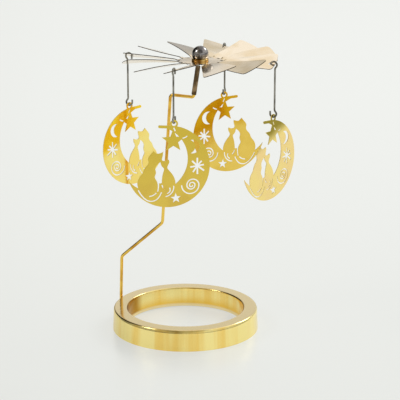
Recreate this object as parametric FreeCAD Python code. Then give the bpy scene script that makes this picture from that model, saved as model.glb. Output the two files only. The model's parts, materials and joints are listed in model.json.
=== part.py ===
import FreeCAD, Part
import math
import os

# Angel chime carousel: a tealight ring, a bent wire stem with a needle, a twelve blade
# draught fan that turns on the needle, and four pierced moon ornaments on wire hooks.
# Millimetres, +Z up. The table is at zero height, and the origin is under the middle of
# the whole object's bounding box.

Vector = FreeCAD.Vector
UP = Vector(0, 0, 1)
ORIGIN = Vector(0, 0, 0)

# Shared allowances
overrun = 2.0
seat_gap = 0.05

# Tealight ring, a stamped channel open underneath
ring_top_diameter = 65.0
ring_flare = 0.5
ring_width = 6.15
ring_height = 9.5
ring_sheet = 0.6
ring_inner_lift = 0.4
ring_outer_edge_radius = 0.8
ring_inner_edge_radius = 0.7

# Wire stem, bent in one upright plane that runs from its foot to the fan's axis
axis_offset = 6.7
stem_wire_diameter = 1.4
stem_foot_angle = 151.7
stem_foot_lift = 0.6
knee_height = 28.6
knee_reach = 0.9
back_height = 46.9
back_reach = 21.4
shoulder_rise = 0.3
shoulder_reach = 25.6
neck_setback = 3.2
knee_radius = 3.0
back_radius = 3.0
shoulder_radius = 1.6
neck_radius = 1.1

# Solder seam between the stem's foot and the ring's wall
solder_width = 2.4
solder_height = 6.5
solder_lift = 1.4

# Needle and the dark sleeve that holds it on the stem
needle_length = 13.0
needle_cone_length = 3.6
sleeve_diameter = 2.15
sleeve_length = 13.0
sleeve_top_drop = 6.4
neck_clearance = 1.0

# Draught fan, stamped from one sheet and twisted blade by blade
fan_height = 122.3
fan_sheet = 0.3
fan_rim_radius = 34.0
blade_count = 12
blade_phase = -17.1
blade_pitch = 16.3
blade_cones = [3.0, 3.8, 5.5, 4.0, 3.0, 3.0, 2.6, 3.0, 1.3, 5.2, 3.2, 4.2]
hub_flat = 9.3
relief_hole_diameter = 1.7
relief_hole_outset = 0.2
blade_neck_length = 1.7
slit_width_root = 1.1
slit_width_rim = 2.8
blade_corner_radius = 1.3

# Hook holes near the rims of every third blade
hook_count = 4
hook_hole_diameter = 1.9
hook_strip = 1.15
hook_lag = 4.0

# Brass bush riveted in the fan's middle, with a cone seat for the needle
pivot_gap = 0.1
bush_collar_diameter = 7.5
bush_collar_height = 1.0
bush_neck_diameter = 4.9
bush_rivet_diameter = 5.9
bush_rivet_height = 0.5
bush_bore_diameter = 3.9
bush_seat_depth = 1.9
bush_roof = 0.6

# Domed cap that stands on the bush's collar
cap_diameter = 7.3
cap_waist_diameter = 6.3
cap_sheet = 0.4
cap_room = 0.35

# Wire hooks
hook_wire_diameter = 0.8
hook_loop_radius = 1.4
hook_lengths = [21.5, 20.7, 20.8, 20.4]
hook_shank_turn = 45.0
hook_shank_radius = 1.5
hook_end_drop = 1.2
hook_crown_gap = 0.25

# Moon ornaments, etched from one sheet
moon_diameter = 35.5
moon_sheet = 0.35
eyelet_diameter = 3.4
eyelet_hole_diameter = 1.9
eyelet_outset = 0.87
eyelet_angle = 82.3
eyelet_gap = 0.2
hollow_share = 0.8
hollow_offset_share = 0.38
hollow_angle = 150.2
horn_tip_radius = 0.6
horn_root_turn = 12.5
moon_yaws = [-21.7, 40.8, -29.7, 27.8]

# Motifs on a moon: sizes as shares of its radius, and places as shares from its middle
star_share = 0.2873
star_waist_share = 0.1211
star_place_share = (0.123, 0.628)
big_cat_back_shares = [
    (-0.351, 0.395), (-0.439, 0.287), (-0.484, 0.202), (-0.472, 0.117), (-0.509, 0.037),
    (-0.574, -0.041), (-0.612, -0.137), (-0.686, -0.234), (-0.733, -0.331), (-0.740, -0.430),
    (-0.711, -0.529), (-0.634, -0.643)]
big_cat_crown_shares = [(-0.279, 0.327), (-0.219, 0.326)]
big_cat_front_shares = [
    (-0.131, 0.353), (-0.128, 0.285), (-0.148, 0.205), (-0.158, 0.150), (-0.215, 0.098),
    (-0.270, 0.048), (-0.310, -0.039), (-0.295, -0.140), (-0.323, -0.251), (-0.277, -0.345),
    (-0.250, -0.455), (-0.261, -0.578), (-0.297, -0.676)]
small_cat_back_shares = [
    (-0.175, 0.183), (-0.187, 0.132), (-0.178, 0.080), (-0.155, 0.016), (-0.104, -0.047),
    (-0.118, -0.137), (-0.145, -0.260), (-0.154, -0.383), (-0.130, -0.508), (-0.092, -0.607)]
small_cat_crown_shares = [(-0.119, 0.143), (-0.055, 0.139)]
small_cat_front_shares = [
    (0.012, 0.171), (0.016, 0.078), (-0.022, -0.012), (0.045, -0.120), (0.130, -0.243),
    (0.168, -0.349), (0.169, -0.466), (0.125, -0.588)]

paws_shares = [
    (-0.222, -0.405), (-0.219, -0.470), (-0.233, -0.578), (-0.240, -0.650), (-0.090, -0.630),
    (-0.110, -0.508), (-0.140, -0.390), (-0.180, -0.408)]

# Pierced motifs
slit_width = 0.5
slit_paths_shares = [
    [(-0.721, -0.556), (-0.657, -0.666), (-0.573, -0.766), (-0.488, -0.825), (-0.402, -0.842),
     (-0.296, -0.813), (-0.212, -0.728), (-0.162, -0.625)],
    [(-0.460, -0.717), (-0.369, -0.699), (-0.287, -0.639)],
    [(0.132, 0.946), (0.152, 0.904), (0.169, 0.859)],
    [(-0.149, -0.447), (-0.125, -0.508), (-0.076, -0.553)],
    [(0.030, -0.517), (0.045, -0.596), (-0.025, -0.664)],
    [(0.131, -0.474), (0.117, -0.593), (0.032, -0.700), (-0.085, -0.736)],
    [(0.345, 0.685), (0.403, 0.700), (0.455, 0.736)]]
crescent_share = 0.169
crescent_bite_share = 0.1718
crescent_bite_offset_share = 0.1138
crescent_place_share = (0.588, 0.473)
sun_share = 0.1972
sun_ray_width = 0.75
sun_place_share = (0.700, 0.001)
sun_ray_shares = [
    (90, 1.00), (48, 0.80), (8, 0.82), (323, 1.06), (271, 1.06), (236, 0.94), (190, 0.88),
    (136, 0.90)]
spiral_slit_width = 0.55
spiral_lap = 1.0
spiral_place_share = (0.561, -0.473)
spiral_start_share = -0.2366
spiral_turn_shares = [0.2085, 0.1459, 0.0980, 0.0667, 0.0396]
small_star_share = 0.1352
small_star_waist_share = 0.0535
small_star_tilt = 4.0
small_star_place_share = (0.184, -0.784)

# Worked out places
ring_top_radius = ring_top_diameter / 2
ring_base_radius = ring_top_radius + ring_flare
ring_well_radius = ring_top_radius - ring_width
stem_radius = stem_wire_diameter / 2
foot_radius = ring_base_radius + stem_radius + seat_gap
foot_angle = math.radians(stem_foot_angle)
foot_point = Vector(foot_radius * math.cos(foot_angle), foot_radius * math.sin(foot_angle), 0)
axis_point = Vector(axis_offset, 0, 0)
stem_span = (axis_point - foot_point).Length
stem_heading = (axis_point - foot_point).normalize()
sheet_half = fan_sheet / 2
cap_radius = cap_diameter / 2
cap_inner_radius = cap_radius - cap_sheet
cap_drop = math.sqrt(cap_radius ** 2 - (cap_waist_diameter / 2) ** 2)
cap_middle_rise = sheet_half + bush_collar_height + cap_drop
spigot_radius = math.sqrt(cap_inner_radius ** 2 - cap_drop ** 2) - cap_room
spigot_top_rise = cap_middle_rise + math.sqrt((cap_inner_radius - cap_room) ** 2 - spigot_radius ** 2)
pivot_rise = spigot_top_rise - bush_roof - pivot_gap
needle_tip_height = fan_height + pivot_rise
neck_height = needle_tip_height - sleeve_top_drop - sleeve_length - neck_clearance
shoulder_height = neck_height + shoulder_rise
moon_radius = moon_diameter / 2
blade_step = 360.0 / blade_count
hook_every = blade_count // hook_count
hook_wire_radius = hook_wire_diameter / 2


def revolve(points):
    """Turn a closed outline of (radius, height) pairs round the upright axis."""
    wire = Part.makePolygon([Vector(r, 0, z) for r, z in points + points[:1]])
    return Part.Face(wire).revolve(ORIGIN, UP, 360)


def fillet_at(solid, radius, test):
    """Round the edges whose middle passes a test."""
    edges = [e for e in solid.Edges if test(e)]
    return solid.makeFillet(radius, edges)


def bent_path(points, radii):
    """Join straight runs with tangent arcs and return one wire."""
    edges = []
    start = points[0]
    for before, corner, after, radius in zip(points, points[1:], points[2:], radii):
        back = (before - corner).normalize()
        ahead = (after - corner).normalize()
        half = back.getAngle(ahead) / 2
        reach = radius / math.tan(half)
        entry = corner + back * reach
        leave = corner + ahead * reach
        inward = (back + ahead).normalize()
        middle = corner + inward * (radius / math.sin(half) - radius)
        edges.append(Part.makeLine(start, entry))
        edges.append(Part.Arc(entry, middle, leave).toShape())
        start = leave
    edges.append(Part.makeLine(start, points[-1]))
    return Part.Wire(edges)


def wire_solid(path, radius, start, heading):
    """Sweep a round wire section along a path."""
    section = Part.Wire([Part.makeCircle(radius, start, heading)])
    return path.makePipeShell([section], True, False)


def stem_at(reach, height):
    """A point in the stem's plane, a reach from its foot towards the fan's axis."""
    return foot_point + stem_heading * reach + UP * height


def ring_envelope(shrink, top, bottom):
    """The ring's full section turned round, shrunk on every face by a wall."""
    lean = ring_flare / ring_height
    low = ring_base_radius - shrink - lean * bottom
    high = ring_base_radius - shrink - lean * top
    inner = ring_well_radius + shrink
    return revolve([(inner, bottom), (low, bottom), (high, top), (inner, top)])


def is_level_ring(edge, radius, height):
    """True for a full circle of about one radius at one height."""
    box = edge.BoundBox
    flat = box.ZLength < seat_gap and abs(box.ZMin - height) < seat_gap
    return flat and abs(box.XLength / 2 - radius) < seat_gap


def make_base_ring():
    outside = ring_envelope(0, ring_height, 0)
    outside = fillet_at(outside, ring_outer_edge_radius,
                        lambda e: is_level_ring(e, ring_top_radius, ring_height))
    outside = fillet_at(outside, ring_inner_edge_radius,
                        lambda e: is_level_ring(e, ring_well_radius, ring_height))
    room_top = ring_height - ring_sheet
    room = ring_envelope(ring_sheet, room_top, -overrun)
    lean = ring_flare / ring_height
    room_radius = ring_base_radius - ring_sheet - lean * room_top
    room = fillet_at(room, ring_outer_edge_radius - ring_sheet,
                     lambda e: is_level_ring(e, room_radius, room_top))
    room = fillet_at(room, ring_inner_edge_radius - ring_sheet,
                     lambda e: is_level_ring(e, ring_well_radius + ring_sheet, room_top))
    trim_radius = ring_well_radius + ring_sheet + seat_gap
    trim = Part.makeCylinder(trim_radius, ring_inner_lift + overrun, Vector(0, 0, -overrun))
    return outside.cut(room).cut(trim)


neck_point = stem_at(stem_span - neck_setback, neck_height)
needle_tip = stem_at(stem_span, needle_tip_height)
needle_heading = (needle_tip - neck_point).normalize()
needle_foot = needle_tip - needle_heading * needle_length


def make_stem():
    points = [
        stem_at(0, stem_foot_lift), stem_at(knee_reach, knee_height),
        stem_at(back_reach, back_height), stem_at(shoulder_reach, shoulder_height),
        neck_point, needle_foot - needle_heading * seat_gap]
    path = bent_path(points, [knee_radius, back_radius, shoulder_radius, neck_radius])
    return wire_solid(path, stem_radius, points[0], points[1] - points[0])


def make_solder(stem):
    """A filled seam in the corner between the stem's foot and the ring's wall."""
    middle = Vector(foot_point.x, foot_point.y, 0) * ((foot_radius - stem_radius) / foot_radius)
    bead = Part.makeCylinder(solder_width / 2, solder_height, middle + UP * solder_lift)
    bead = bead.makeFillet(solder_width / 4, bead.Edges)
    wall = revolve([(0, -overrun), (ring_base_radius + ring_flare * overrun / ring_height, -overrun),
                    (ring_top_radius - ring_flare * overrun / ring_height, ring_height + overrun),
                    (0, ring_height + overrun)])
    return bead.cut(wall).cut(stem)


def make_needle():
    shank_length = needle_length - needle_cone_length
    shank = Part.makeCylinder(stem_radius, shank_length, needle_foot, needle_heading)
    cone_foot = needle_foot + needle_heading * shank_length
    cone = Part.makeCone(stem_radius, 0, needle_cone_length, cone_foot, needle_heading)
    return shank.fuse(cone).removeSplitter()


def make_sleeve():
    low = needle_tip - needle_heading * (sleeve_top_drop + sleeve_length)
    tube = Part.makeCylinder(sleeve_diameter / 2, sleeve_length, low, needle_heading)
    bore = Part.makeCylinder(stem_radius + seat_gap, sleeve_length + overrun * 2,
                             low - needle_heading * overrun, needle_heading)
    return tube.cut(bore)


def blade_placement(cone):
    """Pitch about the blade's own line, then lift its tip about the hub's edge."""
    hinge = Vector(hub_flat, 0, 0)
    pitch = FreeCAD.Placement(ORIGIN, FreeCAD.Rotation(Vector(1, 0, 0), blade_pitch))
    lift = FreeCAD.Placement(ORIGIN, FreeCAD.Rotation(Vector(0, 1, 0), -cone), hinge)
    return lift.multiply(pitch)


def slit_side(distance, width):
    """A point on the blade's side, half a slit away from the line between two blades."""
    angle = math.radians(blade_step / 2)
    along = Vector(math.cos(angle), math.sin(angle), 0) * distance
    return along + Vector(math.sin(angle), -math.cos(angle), 0) * (width / 2)


def hook_hole_place(radius):
    """A place on the flat blade along the line that the hook hangs on."""
    angle = math.radians(-hook_lag)
    return Vector(radius * math.cos(angle), radius * math.sin(angle), 0)


def make_blade(cone, with_hole):
    """One blade as a flat plate on a twisted neck, its tip lifted by a cone angle."""
    root = hub_flat + blade_neck_length
    root_side = slit_side(root / math.cos(math.radians(blade_step / 2)), slit_width_root)
    tip_side = slit_side(fan_rim_radius, slit_width_rim)
    tip_y = tip_side.y
    tip_x = math.sqrt(fan_rim_radius ** 2 - tip_y ** 2)
    low_root = Vector(root, -root_side.y, -sheet_half)
    high_root = Vector(root, root_side.y, -sheet_half)
    low_tip = Vector(tip_x, -tip_y, -sheet_half)
    high_tip = Vector(tip_x, tip_y, -sheet_half)
    rim = Part.Arc(low_tip, Vector(fan_rim_radius, 0, -sheet_half), high_tip).toShape()
    sides = [Part.makeLine(low_root, low_tip), rim, Part.makeLine(high_tip, high_root),
             Part.makeLine(high_root, low_root)]
    plate = Part.Face(Part.Wire(sides)).extrude(UP * fan_sheet)
    plate = fillet_at(plate, blade_corner_radius, lambda e: e.BoundBox.ZLength > sheet_half
                      and e.CenterOfMass.x > tip_x - seat_gap)
    if with_hole:
        hole_radius = hook_hole_diameter / 2
        place = hook_hole_place(fan_rim_radius - hook_strip - hole_radius)
        plate = plate.cut(Part.makeCylinder(hole_radius, fan_sheet + overrun * 2,
                                            place - UP * overrun))
    placement = blade_placement(cone)
    plate.Placement = placement
    neck_half = tab_half_width()
    tab = [Vector(hub_flat, y, z) for y, z in rectangle(neck_half)]
    end = [placement.multVec(Vector(root, y, z)) for y, z in rectangle(root_side.y)]
    neck = Part.makeLoft([Part.makePolygon(tab + tab[:1]), Part.makePolygon(end + end[:1])],
                         True, True)
    return plate.fuse(neck)


def rectangle(half_width):
    """Corners of the sheet's section across a blade."""
    return [(-half_width, -sheet_half), (half_width, -sheet_half),
            (half_width, sheet_half), (-half_width, sheet_half)]


def relief_place():
    """Middle of a relief hole on the line between two blades."""
    angle = math.radians(blade_step / 2)
    radius = hub_flat + relief_hole_outset
    return Vector(radius * math.cos(angle), radius * math.sin(angle), 0)


def tab_half_width():
    """Half the width left between two relief holes at the hub's edge."""
    place = relief_place()
    rise = math.sqrt((relief_hole_diameter / 2) ** 2 - (hub_flat - place.x) ** 2)
    return place.y - rise


def make_fan():
    corner = hub_flat / math.cos(math.radians(blade_step / 2))
    angles = [math.radians(blade_step * (i + 0.5)) for i in range(blade_count + 1)]
    outline = Part.makePolygon([Vector(corner * math.cos(a), corner * math.sin(a), -sheet_half)
                                for a in angles])
    hub = Part.Face(outline).extrude(UP * fan_sheet)
    bore = Part.makeCylinder(bush_neck_diameter / 2 + seat_gap, fan_sheet + overrun * 2,
                             Vector(0, 0, -overrun))
    hub = hub.cut(bore)
    place = relief_place()
    relief = Part.makeCylinder(relief_hole_diameter / 2, fan_sheet + overrun * 2,
                               place - UP * overrun)
    for i in range(blade_count):
        hole = relief.copy()
        hole.rotate(ORIGIN, UP, blade_step * i)
        hub = hub.cut(hole)
    blades = []
    for i in range(blade_count):
        blade = make_blade(blade_cones[i % len(blade_cones)], i % hook_every == 0)
        blade.rotate(ORIGIN, UP, blade_step * i)
        blades.append(blade)
    fan = hub.multiFuse(blades).removeSplitter()
    return on_axis(fan, blade_phase, fan_height)


def on_axis(shape, turn, height):
    """Turn a shape about its own upright axis and lift it onto the fan's axis."""
    shape = shape.copy()
    shape.rotate(ORIGIN, UP, turn)
    shape.translate(axis_point + UP * height)
    return shape


def make_bush():
    top = sheet_half + bush_collar_height
    bottom = -sheet_half - bush_rivet_height
    apex = pivot_rise + pivot_gap
    seat_foot = apex - bush_seat_depth
    bore = bush_bore_diameter / 2
    neck = bush_neck_diameter / 2
    rivet = bush_rivet_diameter / 2
    collar = bush_collar_diameter / 2
    body = revolve([(bore, bottom), (rivet, bottom), (rivet, -sheet_half), (neck, -sheet_half),
                    (neck, sheet_half), (collar, sheet_half), (collar, top),
                    (spigot_radius, top), (spigot_radius, spigot_top_rise),
                    (0, spigot_top_rise), (0, apex), (bore, seat_foot)])
    edge = bush_collar_height / 4
    body = fillet_at(body, edge, lambda e: is_level_ring(e, collar, top)
                     or is_level_ring(e, collar, sheet_half))
    return on_axis(body, 0, fan_height)


def make_cap():
    shell = Part.makeSphere(cap_radius).cut(Part.makeSphere(cap_inner_radius))
    below = Part.makeCylinder(cap_radius + overrun, cap_radius,
                              Vector(0, 0, -cap_drop - cap_radius))
    return on_axis(shell.cut(below), 0, fan_height + cap_middle_rise)


crown_room = hook_loop_radius - hook_wire_radius
slope_rise = hook_wire_radius * math.tan(math.radians(blade_pitch))
corner_drop = crown_room - math.sqrt(crown_room ** 2 - (hook_strip / 2) ** 2)
crown_rise = sheet_half + slope_rise + hook_crown_gap + corner_drop - crown_room
eyelet_drop = eyelet_hole_diameter / 2 - hook_wire_radius - eyelet_gap


def hook_place(index):
    """Middle of the sheet strip between a hook hole and the rim, about the fan's axis."""
    cone = blade_cones[index * hook_every % len(blade_cones)]
    strip = blade_placement(cone).multVec(hook_hole_place(fan_rim_radius - hook_strip / 2))
    rotation = FreeCAD.Rotation(UP, blade_phase + blade_step * hook_every * index)
    return rotation.multVec(strip) + UP * fan_height


def make_hook(length):
    """A wire hook in the upright plane of X and Z, its upper loop's middle at the origin."""
    turn = math.radians(hook_shank_turn)
    loop = hook_loop_radius
    bend = hook_shank_radius
    shank_x = loop * math.cos(turn) - bend * (1 - math.cos(turn))
    swing_x = loop * math.cos(turn) + bend * math.cos(turn)
    ends = []
    for side, middle in ((1, 0), (-1, -length)):
        knuckle = Vector(loop * math.cos(turn), 0, middle - side * loop * math.sin(turn))
        swing_z = knuckle.z - side * bend * math.sin(turn)
        half = turn / 2
        ease = Vector(swing_x - bend * math.cos(half), 0, swing_z + side * bend * math.sin(half))
        shank_end = Vector(shank_x, 0, swing_z)
        inner = Vector(-loop, 0, middle)
        free = Vector(-loop, 0, middle - side * hook_end_drop)
        crown = Vector(0, 0, middle + side * loop)
        ends.append((free, inner, crown, knuckle, ease, shank_end))
    top, low = ends
    edges = [
        Part.makeLine(top[0], top[1]), Part.Arc(top[1], top[2], top[3]).toShape(),
        Part.Arc(top[3], top[4], top[5]).toShape(), Part.makeLine(top[5], low[5]),
        Part.Arc(low[5], low[4], low[3]).toShape(), Part.Arc(low[3], low[2], low[1]).toShape(),
        Part.makeLine(low[1], low[0])]
    return wire_solid(Part.Wire(edges), hook_wire_radius, top[0], top[1] - top[0])


def share_point(share):
    """A place on the moon from its shares of the moon's radius."""
    return Vector(share[0] * moon_radius, share[1] * moon_radius, 0)


def plate(face, thickness):
    """Thicken a flat face equally to both sides."""
    face = face.copy()
    face.translate(Vector(0, 0, -thickness / 2))
    return face.extrude(UP * thickness)


def disc(middle, radius, thickness):
    return Part.makeCylinder(radius, thickness, middle - UP * (thickness / 2))


def bar(start, end, half_width, thickness):
    """A straight strip between two points."""
    along = (end - start).normalize()
    across = Vector(-along.y, along.x, 0) * half_width
    corners = [start + across, end + across, end - across, start - across, start + across]
    return plate(Part.Face(Part.makePolygon(corners)), thickness)


def paws():
    """The cats' forepaws and tails, which fill the foot of the gap between them."""
    points = [share_point(s) for s in paws_shares]
    return plate(Part.Face(Part.makePolygon(points + points[:1])), moon_sheet)


def star(place_share, reach_share, waist_share, tilt, thickness):
    """A five pointed star."""
    points = []
    for i in range(11):
        angle = math.radians(90 + tilt + 36 * i)
        reach = moon_radius * (reach_share if i % 2 == 0 else waist_share)
        tip = Vector(math.cos(angle), math.sin(angle), 0) * reach
        points.append(share_point(place_share) + tip)
    return plate(Part.Face(Part.makePolygon(points)), thickness)


def spline(points):
    curve = Part.BSplineCurve()
    curve.interpolate(points)
    return curve.toShape()


def cat(back_shares, crown_shares, front_shares):
    """A seated cat: back and front as smooth lines, pointed ears between them."""
    back = [share_point(s) for s in back_shares]
    crown = [back[0]] + [share_point(s) for s in crown_shares]
    front = [share_point(s) for s in front_shares]
    crown.append(front[0])
    edges = [spline(back), Part.makeLine(back[-1], front[-1]), spline(front)]
    edges += [Part.makeLine(a, b) for a, b in zip(crown, crown[1:])]
    wire = Part.Wire(Part.__sortEdges__(edges))
    return plate(Part.Face(wire), moon_sheet)


def slit(path_shares, width, thickness):
    """A narrow band of even width along a smooth line."""
    curve = Part.BSplineCurve()
    curve.interpolate([share_point(s) for s in path_shares])
    count = 3 * len(path_shares)
    left = []
    right = []
    for i in range(count + 1):
        value = curve.FirstParameter + (curve.LastParameter - curve.FirstParameter) * i / count
        middle = curve.value(value)
        along = curve.tangent(value)[0]
        across = Vector(-along.y, along.x, 0) * (width / 2)
        left.append(middle + across)
        right.append(middle - across)
    edges = [spline(left), Part.makeLine(left[-1], right[-1]), spline(right),
             Part.makeLine(right[0], left[0])]
    return plate(Part.Face(Part.Wire(Part.__sortEdges__(edges))), thickness)


def spiral_slits(thickness):
    """A spiral drawn in half turns of falling radius, each starting where the last ended."""
    middle = share_point(spiral_place_share)
    start = spiral_start_share * moon_radius
    bands = []
    for i, share in enumerate(spiral_turn_shares):
        radius = share * moon_radius
        side = 1 if i % 2 == 0 else -1
        centre = middle + Vector(start + side * radius, 0, 0)
        foot = centre - UP * (thickness / 2)
        band = Part.makeCylinder(radius + spiral_slit_width / 2, thickness, foot, UP, 180 + 2 * spiral_lap)
        band = band.cut(Part.makeCylinder(radius - spiral_slit_width / 2, thickness, foot))
        band.rotate(centre, UP, (180 if i % 2 == 0 else 0) - spiral_lap)
        bands.append(band)
        start += side * 2 * radius
    return bands


def sun_rays(thickness):
    """Eight bars from the sun's middle, of uneven length."""
    middle = share_point(sun_place_share)
    rays = []
    for angle, share in sun_ray_shares:
        ray = Part.makeBox(share * sun_share * moon_radius, sun_ray_width, thickness,
                           middle - Vector(0, sun_ray_width / 2, thickness / 2))
        ray.rotate(middle, UP, angle)
        rays.append(ray)
    return rays


def make_moon():
    """The moon upright in the X and Y plane, hanging from its eyelet's middle."""
    tall = moon_sheet + overrun
    hollow_turn = math.radians(hollow_angle)
    hollow_offset = hollow_offset_share * moon_radius
    hollow = Vector(math.cos(hollow_turn), math.sin(hollow_turn), 0) * hollow_offset
    hollow_radius = hollow_share * moon_radius
    crescent = disc(ORIGIN, moon_radius, moon_sheet).cut(disc(hollow, hollow_radius, tall))
    spread = math.acos((moon_radius ** 2 + hollow_offset ** 2 - hollow_radius ** 2)
                       / (2 * moon_radius * hollow_offset))
    horn_angle = hollow_turn - spread
    horn = Vector(math.cos(horn_angle), math.sin(horn_angle), 0) * moon_radius
    root_angle = horn_angle - math.radians(horn_root_turn)
    root_reach = moon_radius - horn_tip_radius
    root = Vector(math.cos(root_angle), math.sin(root_angle), 0) * root_reach
    eye_turn = math.radians(eyelet_angle)
    eye = Vector(math.cos(eye_turn), math.sin(eye_turn), 0) * (moon_radius + eyelet_outset)
    parts = [
        disc(horn, horn_tip_radius, moon_sheet), bar(horn, root, horn_tip_radius, moon_sheet),
        disc(eye, eyelet_diameter / 2, moon_sheet), paws(),
        star(star_place_share, star_share, star_waist_share, 0, moon_sheet),
        cat(big_cat_back_shares, big_cat_crown_shares, big_cat_front_shares),
        cat(small_cat_back_shares, small_cat_crown_shares, small_cat_front_shares)]
    moon = crescent.multiFuse(parts).removeSplitter()
    bite_place = share_point(crescent_place_share)
    bite_shift = Vector(crescent_bite_offset_share * moon_radius, 0, 0)
    bite = disc(bite_place - bite_shift, crescent_bite_share * moon_radius, tall)
    cuts = [disc(eye, eyelet_hole_diameter / 2, tall),
            disc(bite_place, crescent_share * moon_radius, tall).cut(bite),
            star(small_star_place_share, small_star_share, small_star_waist_share,
                 small_star_tilt, tall)]
    cuts += [slit(path, slit_width, tall) for path in slit_paths_shares]
    cuts += sun_rays(tall)
    cuts += spiral_slits(tall)
    for cut in cuts:
        moon = moon.cut(cut)
    moon = moon.Solids[0]
    moon.translate(-eye)
    weight = moon.CenterOfMass
    moon.rotate(ORIGIN, UP, -math.degrees(math.atan2(weight.x, -weight.y)))
    return moon


def stand_at(shape, place, yaw, height):
    """Turn an upright shape about the vertical and stand it under a hook hole."""
    shape = shape.copy()
    shape.rotate(ORIGIN, UP, yaw)
    shape.translate(axis_point + Vector(place.x, place.y, height))
    return shape


stem = make_stem()
pieces = {
    "base_ring": make_base_ring(),
    "stem_rod": stem,
    "stem_solder": make_solder(stem),
    "pivot_needle": make_needle(),
    "pivot_sleeve": make_sleeve(),
    "fan": make_fan(),
    "hub_bush": make_bush(),
    "hub_cap": make_cap(),
}
moon_shape = make_moon()
moon_shape.rotate(ORIGIN, Vector(1, 0, 0), 90)
joints = []
for i in range(hook_count):
    place = hook_place(i)
    length = hook_lengths[i % len(hook_lengths)]
    yaw = moon_yaws[i % len(moon_yaws)]
    angle = math.degrees(math.atan2(place.y, place.x))
    crown_height = place.z + crown_rise
    wire_height = crown_height - length - hook_loop_radius
    eye_height = wire_height - eyelet_drop
    pieces[f"hook_{i + 1}"] = stand_at(make_hook(length), place, angle, crown_height)
    pieces[f"moon_{i + 1}"] = stand_at(moon_shape, place, angle + 90 + yaw, eye_height)
    joints.append((i + 1, place, wire_height, angle, yaw))

whole = Part.makeCompound(list(pieces.values())).optimalBoundingBox(False, False)
shift = Vector(-(whole.XMin + whole.XMax) / 2, -(whole.YMin + whole.YMax) / 2, 0)
os.makedirs("parts", exist_ok=True)
for name, shape in pieces.items():
    shape.translate(shift)
    shape.exportStep(f"parts/{name}.step")
    print(name, shape.isValid(), len(shape.Solids), round(shape.Volume, 3))

print("ring middle", tuple(shift))
print("fan axis", tuple(axis_point + shift))
print("needle tip", needle_tip_height)
for number, place, wire_height, angle, yaw in joints:
    spot = axis_point + shift + place
    turn = math.radians(angle)
    facing = math.radians(angle + yaw)
    print("hook", number, "pivot", tuple(spot), "axis", (-math.sin(turn), math.cos(turn), 0))
    print("moon", number, "pivot", (spot.x, spot.y, wire_height),
          "axis", (math.cos(facing), math.sin(facing), 0))
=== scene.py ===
"""Candle carousel: a tealight ring, a wire stem, a draught fan and four pierced moons.

Metres, +Z up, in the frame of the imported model. The moons, hooks, stem, needle and bush are
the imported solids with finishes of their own. The ring, the fan and the domed cap are surfaces
worked out here, which stand for their solids.
"""
import json
import logging
import math
from collections.abc import Callable
from dataclasses import dataclass
from enum import Enum

import bpy
import numpy as np
from mathutils import Matrix, Vector


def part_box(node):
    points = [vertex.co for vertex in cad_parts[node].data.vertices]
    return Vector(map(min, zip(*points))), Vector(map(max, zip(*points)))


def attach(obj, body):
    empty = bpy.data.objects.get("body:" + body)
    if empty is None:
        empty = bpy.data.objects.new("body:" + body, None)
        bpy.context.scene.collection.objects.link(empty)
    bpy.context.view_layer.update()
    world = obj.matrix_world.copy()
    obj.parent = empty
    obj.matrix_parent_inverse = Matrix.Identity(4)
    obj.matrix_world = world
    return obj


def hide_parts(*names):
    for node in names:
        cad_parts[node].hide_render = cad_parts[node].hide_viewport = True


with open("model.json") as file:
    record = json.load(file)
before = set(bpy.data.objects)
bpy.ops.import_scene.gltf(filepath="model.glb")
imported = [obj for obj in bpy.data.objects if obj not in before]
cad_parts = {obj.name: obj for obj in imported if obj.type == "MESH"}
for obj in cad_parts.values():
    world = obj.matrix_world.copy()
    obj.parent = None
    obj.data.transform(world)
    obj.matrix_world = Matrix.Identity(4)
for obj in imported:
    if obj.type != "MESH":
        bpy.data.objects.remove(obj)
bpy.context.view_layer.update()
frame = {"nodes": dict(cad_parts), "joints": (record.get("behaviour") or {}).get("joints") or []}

Array = np.ndarray
Piece = bpy.types.Object
Socket = bpy.types.NodeSocket
Tree = bpy.types.NodeTree
Rgba = tuple[float, float, float, float]
Stops = tuple[tuple[float, Rgba], ...]

LOG = logging.getLogger("carousel")
NODES: dict[str, Piece] = frame["nodes"]
MM = 0.001
# Edges that turn by more than this stay sharp.
SHARP = math.radians(40)
# A face is a sheet's edge if it is turned more than 60 degrees away: the cosine of that.
EDGE_COSINE = 0.5
# Nearly all the values of a noise lie between these two.
NOISE_LOW, NOISE_HIGH = 0.3, 0.7
# A Mix node has sockets for each kind of data, and these are the ones for colours.
MIX_UNDER, MIX_OVER, MIX_RESULT = 6, 7, 2


class Grain(Enum):
    """Which way a metal's working marks run: how far noise is squeezed along X, Y and Z."""

    ALONG_X = (0.05, 1.0, 1.0)
    UPRIGHT = (1.0, 1.0, 0.04)
    ROUND = (0.3, 0.3, 1.0)
    CAST = (1.0, 1.0, 1.0)


def linear(hex_colour: str) -> Rgba:
    """Turn an sRGB hex colour into Blender's linear colour.

    Args:
        hex_colour: Six hex digits, as on a paint card.

    Returns:
        Linear red, green and blue, and full alpha.
    """
    srgb = np.array([int(hex_colour[i:i + 2], 16) for i in (0, 2, 4)]) / 255
    lin = np.where(srgb <= 0.04045, srgb / 12.92, ((srgb + 0.055) / 1.055) ** 2.4)
    return (*lin.tolist(), 1.0)


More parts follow.
